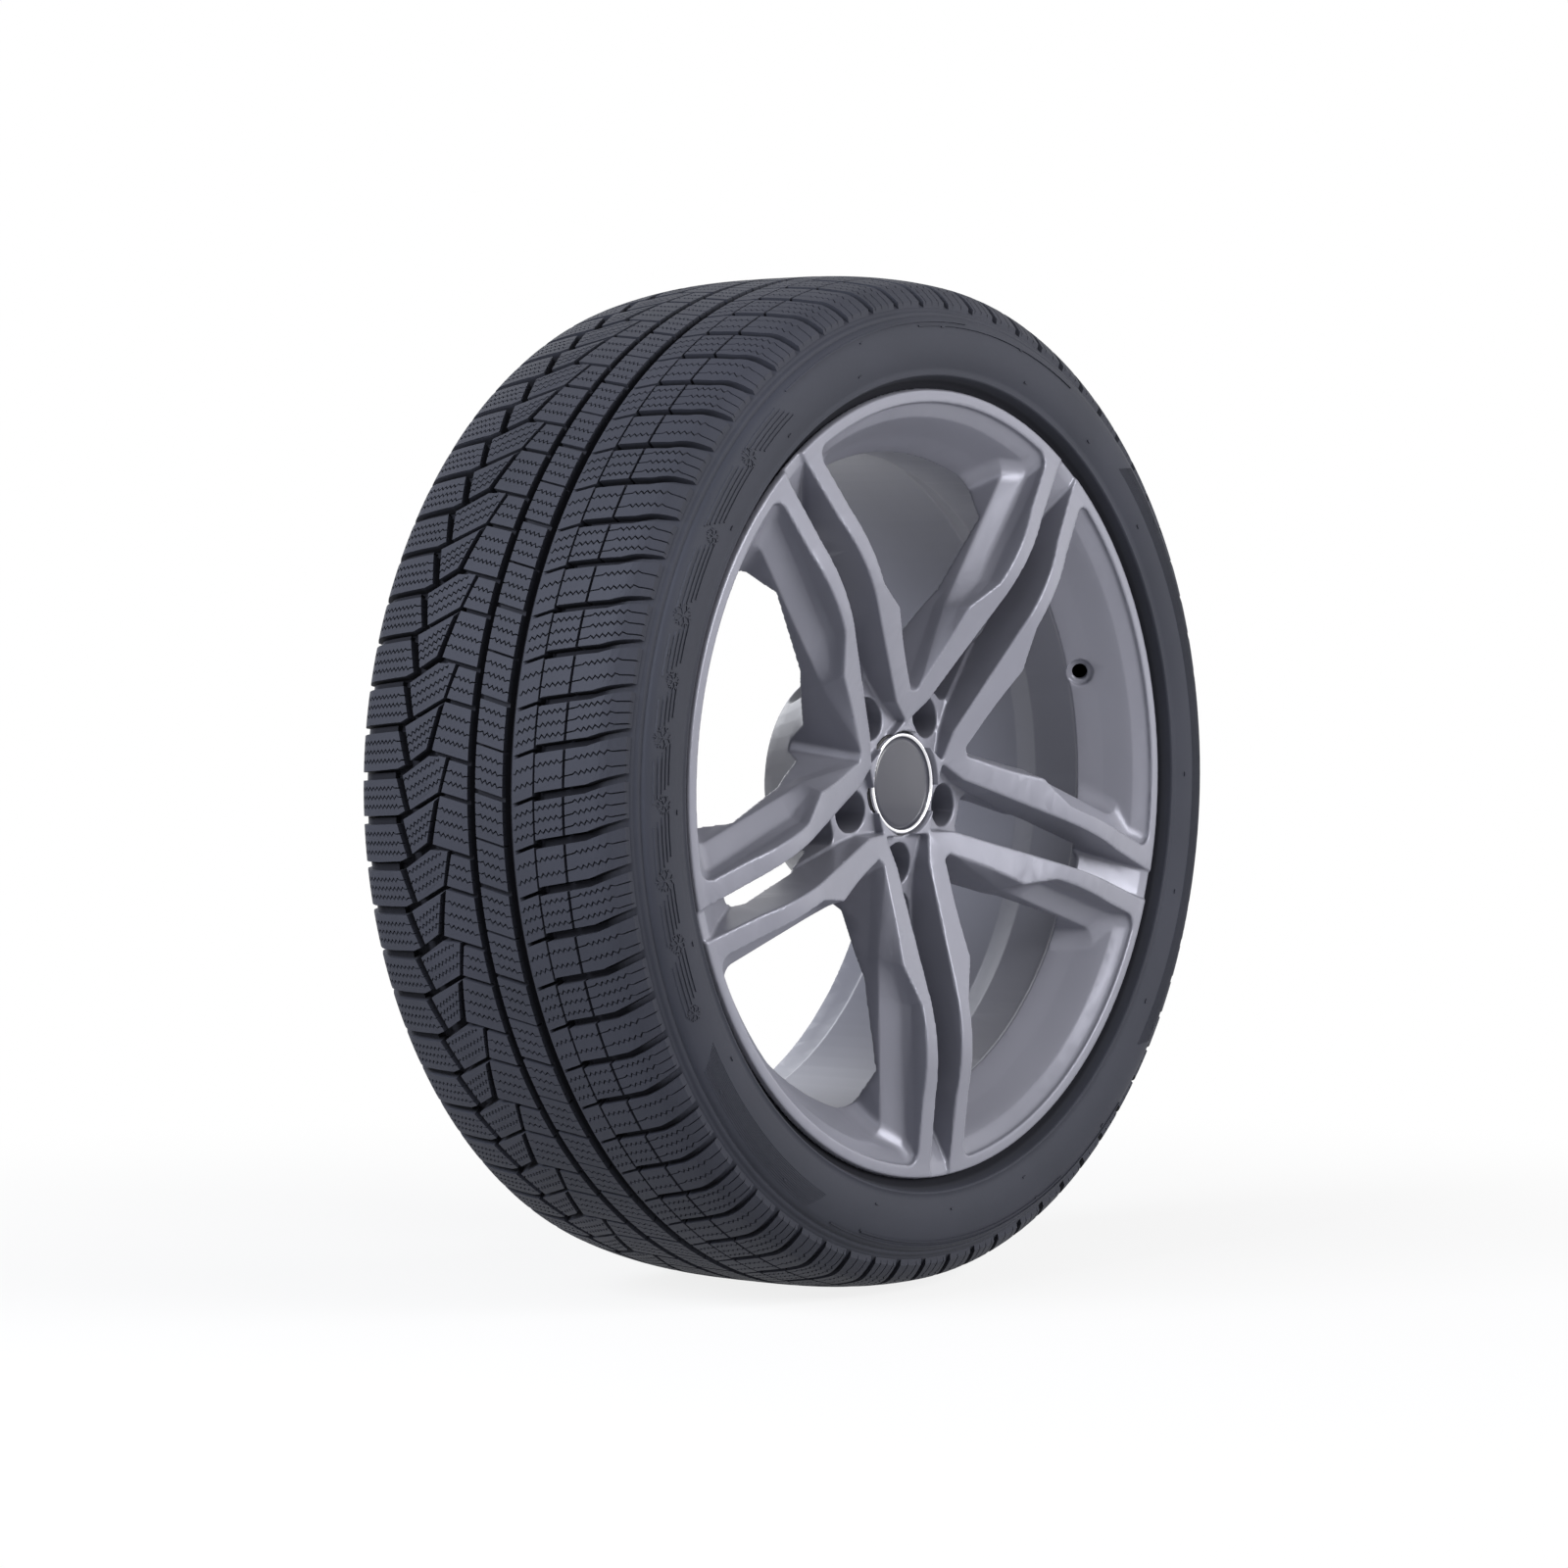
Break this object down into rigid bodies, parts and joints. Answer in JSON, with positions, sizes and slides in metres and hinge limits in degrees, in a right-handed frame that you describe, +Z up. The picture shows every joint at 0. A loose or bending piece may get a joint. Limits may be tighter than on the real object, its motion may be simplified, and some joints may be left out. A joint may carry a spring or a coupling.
{
  "type": "wheel and tyre assembly",
  "caption": "Car wheel with tyre: one-piece cast wheel with V-shaped double spokes and a deep barrel, a low-profile winter tyre with a block tread, and a snap-in centre cap.",
  "frame": {"origin": "middle of the tyre on the axle line, which is the centre of the bounding box", "axes": "+Y along the axle towards the vehicle, so the outer face of the wheel looks towards -Y; +Z up, with one V of the spokes pointing up"},
  "size_m": [0.704, 0.252, 0.704],
  "materials": {
    "tyre_rubber": "matt black rubber, slightly bluish",
    "wheel_paint": "satin metallic titanium-grey paint",
    "cap_plastic": "matt moulded plastic",
    "spring_steel": "drawn spring wire",
    "trim_chrome": "polished chrome",
    "badge_gloss": "glossy dark grey plastic, plain"
  },
  "bodies": {
    "root": {"tyre": "tyre_rubber", "alloy_wheel": "wheel_paint", "cap_body": "cap_plastic", "cap_spring_ring": "spring_steel", "cap_trim_ring": "trim_chrome", "cap_badge": "badge_gloss"}
  },
  "joints": []
}
